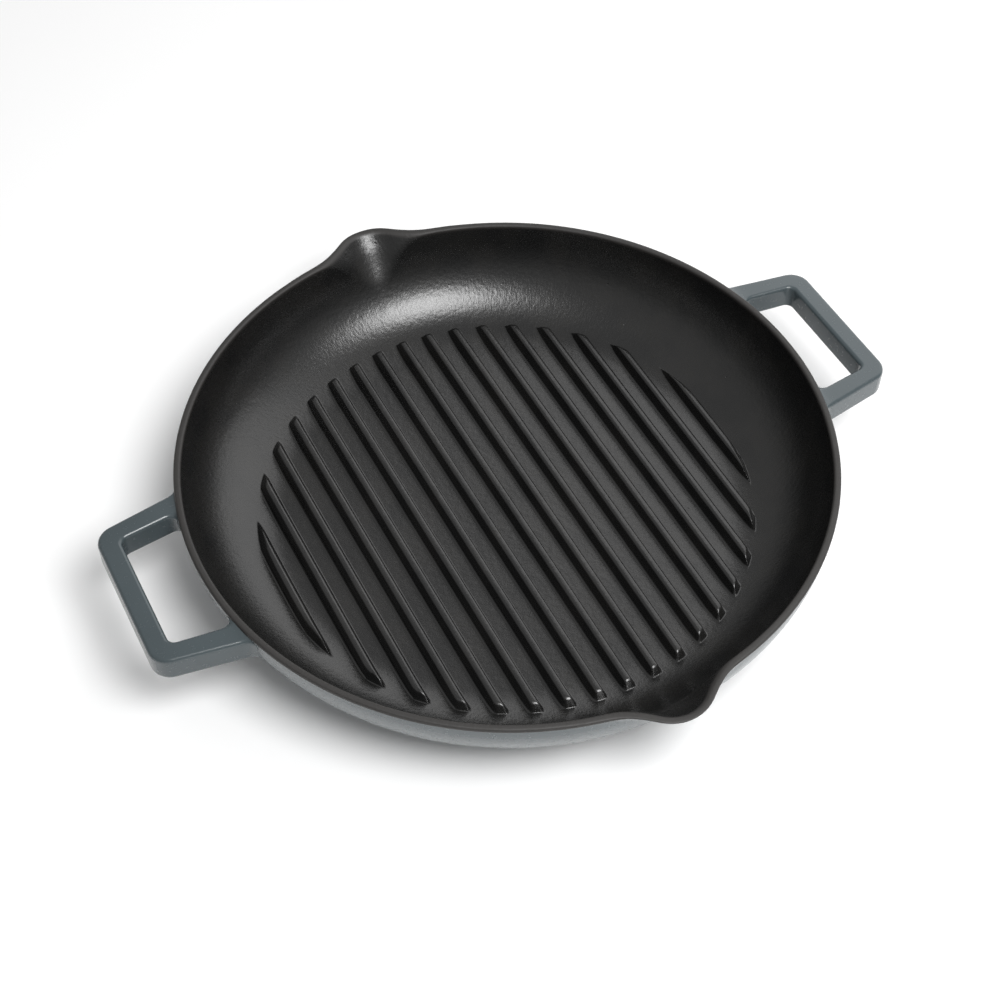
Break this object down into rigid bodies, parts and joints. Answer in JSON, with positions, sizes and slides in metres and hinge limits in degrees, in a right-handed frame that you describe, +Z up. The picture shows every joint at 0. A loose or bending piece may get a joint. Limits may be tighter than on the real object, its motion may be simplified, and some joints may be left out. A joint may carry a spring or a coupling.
{
  "type": "grill pan",
  "caption": "Round enamelled cast iron grill pan with a ribbed floor, a flared wall, two pour lips and two loop handles.",
  "frame": {"origin": "bottom centre, on the surface that the pan stands on", "axes": "+X through the right handle, +Y along the ribs to the back pour lip, +Z up"},
  "size_m": [0.3666, 0.324, 0.0484],
  "materials": {
    "grey_enamel": "cast iron under glossy blue-grey vitreous enamel",
    "black_enamel": "cast iron under satin black vitreous enamel"
  },
  "bodies": {
    "root": {"floor_plate": "black_enamel", "side_wall": "grey_enamel", "pour_lip_back": "grey_enamel", "pour_lip_front": "grey_enamel", "handle_right": "grey_enamel", "handle_left": "grey_enamel", "grill_rib_01": "black_enamel", "grill_rib_02": "black_enamel", "grill_rib_03": "black_enamel", "grill_rib_04": "black_enamel", "grill_rib_05": "black_enamel", "grill_rib_06": "black_enamel", "grill_rib_07": "black_enamel", "grill_rib_08": "black_enamel", "grill_rib_09": "black_enamel", "grill_rib_10": "black_enamel", "grill_rib_11": "black_enamel", "grill_rib_12": "black_enamel", "grill_rib_13": "black_enamel", "grill_rib_14": "black_enamel", "grill_rib_15": "black_enamel", "grill_rib_16": "black_enamel", "grill_rib_17": "black_enamel"}
  },
  "joints": []
}
